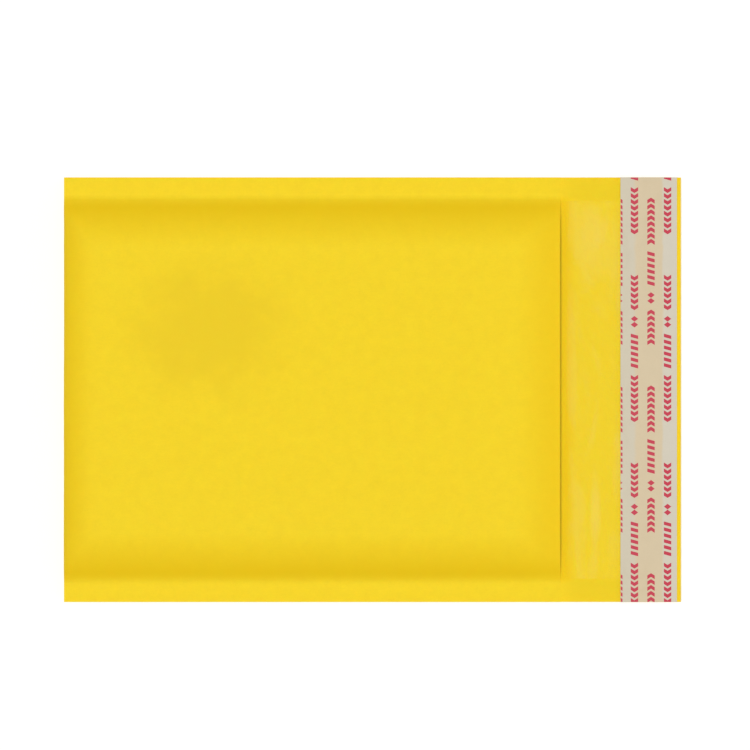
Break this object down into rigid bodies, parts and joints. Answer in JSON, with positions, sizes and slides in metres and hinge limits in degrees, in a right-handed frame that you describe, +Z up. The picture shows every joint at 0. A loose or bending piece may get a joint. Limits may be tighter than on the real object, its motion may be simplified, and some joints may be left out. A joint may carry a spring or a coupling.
{
  "type": "padded envelope",
  "caption": "A small golden-yellow padded mailing envelope, empty and open, with a bubble film lining and a peel-off strip over the glue on its flap.",
  "frame": {"origin": "middle of the footprint, on the surface that the envelope lies on", "axes": "+X along the length, from the closed fold to the end of the flap; +Y across the width; +Z up, from the back panel to the front panel"},
  "size_m": [0.218, 0.15, 0.011],
  "materials": {
    "golden_paper": "matte",
    "clear_film": "gloss",
    "tan_glue": "satin",
    "release_paper": "satin"
  },
  "bodies": {
    "root": {"paper_sleeve": "golden_paper", "bubble_lining": "clear_film", "adhesive_strip": "tan_glue", "release_liner": "release_paper"}
  },
  "joints": []
}
